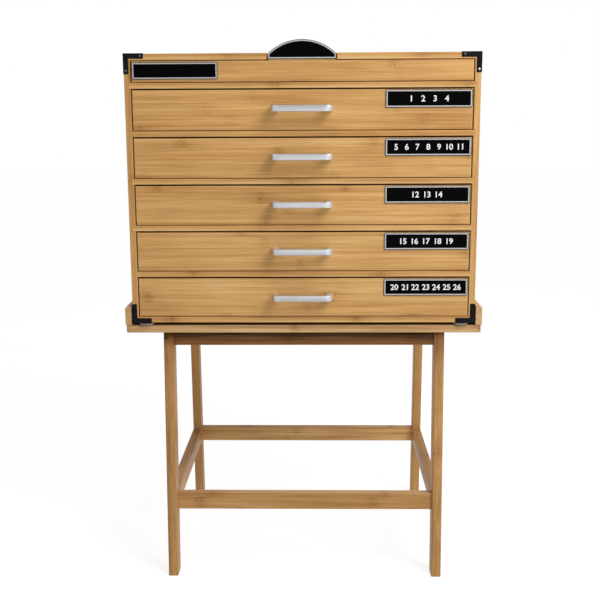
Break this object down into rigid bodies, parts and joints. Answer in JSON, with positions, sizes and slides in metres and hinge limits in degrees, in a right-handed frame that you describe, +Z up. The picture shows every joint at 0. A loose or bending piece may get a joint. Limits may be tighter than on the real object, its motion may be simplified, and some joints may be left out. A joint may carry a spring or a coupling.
{
  "type": "desktop drawer organizer",
  "caption": "Bamboo desktop drawer organizer: equal drawers with bow pulls and label plates under a shallow index drawer, set on its own splayed-leg tray stand.",
  "frame": {"origin": "on the floor under the middle of the whole piece, pulls included", "axes": "+X to the right seen from the front, +Y from the front to the back, +Z up"},
  "size_m": [0.5212, 0.437, 0.8127],
  "materials": {
    "chest_bamboo": "clear satin lacquer over side-pressed bamboo",
    "drawer_bamboo": "clear satin lacquer over side-pressed bamboo",
    "stand_bamboo": "clear satin lacquer, a shade darker than the chest",
    "panel_bamboo": "thin bamboo panel, matt lacquer",
    "aluminium_pull": "satin anodised",
    "label_plate": "bright border round a black enamel field",
    "black_guard": "black lacquered pressed steel",
    "clear_rubber": "clear soft bumper",
    "steel_fasteners": "zinc plated"
  },
  "bodies": {
    "stand": {"tray_board": "stand_bamboo", "tray_rail_right": "stand_bamboo", "tray_rail_left": "stand_bamboo", "leg_front_right": "stand_bamboo", "leg_front_left": "stand_bamboo", "leg_rear_right": "stand_bamboo", "leg_rear_left": "stand_bamboo", "apron_front": "stand_bamboo", "apron_rear": "stand_bamboo", "apron_right": "stand_bamboo", "apron_left": "stand_bamboo", "stretcher_front": "stand_bamboo", "stretcher_rear": "stand_bamboo", "stretcher_right": "stand_bamboo", "stretcher_left": "stand_bamboo", "stand_bolts": "steel_fasteners", "barrel_nuts": "steel_fasteners"},
    "chest": {"chest_side_right": "chest_bamboo", "chest_side_left": "chest_bamboo", "chest_top": "chest_bamboo", "chest_bottom": "chest_bamboo", "chest_back_panel": "panel_bamboo", "shelf_1": "chest_bamboo", "shelf_2": "chest_bamboo", "shelf_3": "chest_bamboo", "shelf_4": "chest_bamboo", "shelf_5": "chest_bamboo", "corner_guards": "black_guard", "bumper_feet": "clear_rubber"},
    "drawer_1": {"drawer_1_front": "drawer_bamboo", "drawer_1_box": "drawer_bamboo", "drawer_1_floor": "panel_bamboo", "drawer_1_pull": "aluminium_pull", "drawer_1_label": "label_plate"},
    "drawer_2": {"drawer_2_front": "drawer_bamboo", "drawer_2_box": "drawer_bamboo", "drawer_2_floor": "panel_bamboo", "drawer_2_pull": "aluminium_pull", "drawer_2_label": "label_plate"},
    "drawer_3": {"drawer_3_front": "drawer_bamboo", "drawer_3_box": "drawer_bamboo", "drawer_3_floor": "panel_bamboo", "drawer_3_pull": "aluminium_pull", "drawer_3_label": "label_plate"},
    "drawer_4": {"drawer_4_front": "drawer_bamboo", "drawer_4_box": "drawer_bamboo", "drawer_4_floor": "panel_bamboo", "drawer_4_pull": "aluminium_pull", "drawer_4_label": "label_plate"},
    "drawer_5": {"drawer_5_front": "drawer_bamboo", "drawer_5_box": "drawer_bamboo", "drawer_5_floor": "panel_bamboo", "drawer_5_pull": "aluminium_pull", "drawer_5_label": "label_plate"},
    "index_drawer": {"index_drawer_front": "drawer_bamboo", "index_drawer_box": "drawer_bamboo", "index_drawer_floor": "panel_bamboo", "index_badge": "label_plate", "index_dome_plate": "label_plate"}
  },
  "joints": [
    {"name": "chest_lift", "type": "slide", "parent": "stand", "child": "chest", "axis": [0, 0, 1], "range_m": [0, 0.06]},
    {"name": "drawer_1_slide", "type": "slide", "parent": "chest", "child": "drawer_1", "axis": [0, -1, 0], "range_m": [0, 0.3]},
    {"name": "drawer_2_slide", "type": "slide", "parent": "chest", "child": "drawer_2", "axis": [0, -1, 0], "range_m": [0, 0.3]},
    {"name": "drawer_3_slide", "type": "slide", "parent": "chest", "child": "drawer_3", "axis": [0, -1, 0], "range_m": [0, 0.3]},
    {"name": "drawer_4_slide", "type": "slide", "parent": "chest", "child": "drawer_4", "axis": [0, -1, 0], "range_m": [0, 0.3]},
    {"name": "drawer_5_slide", "type": "slide", "parent": "chest", "child": "drawer_5", "axis": [0, -1, 0], "range_m": [0, 0.3]},
    {"name": "index_drawer_slide", "type": "slide", "parent": "chest", "child": "index_drawer", "axis": [0, -1, 0], "range_m": [0, 0.3]}
  ]
}
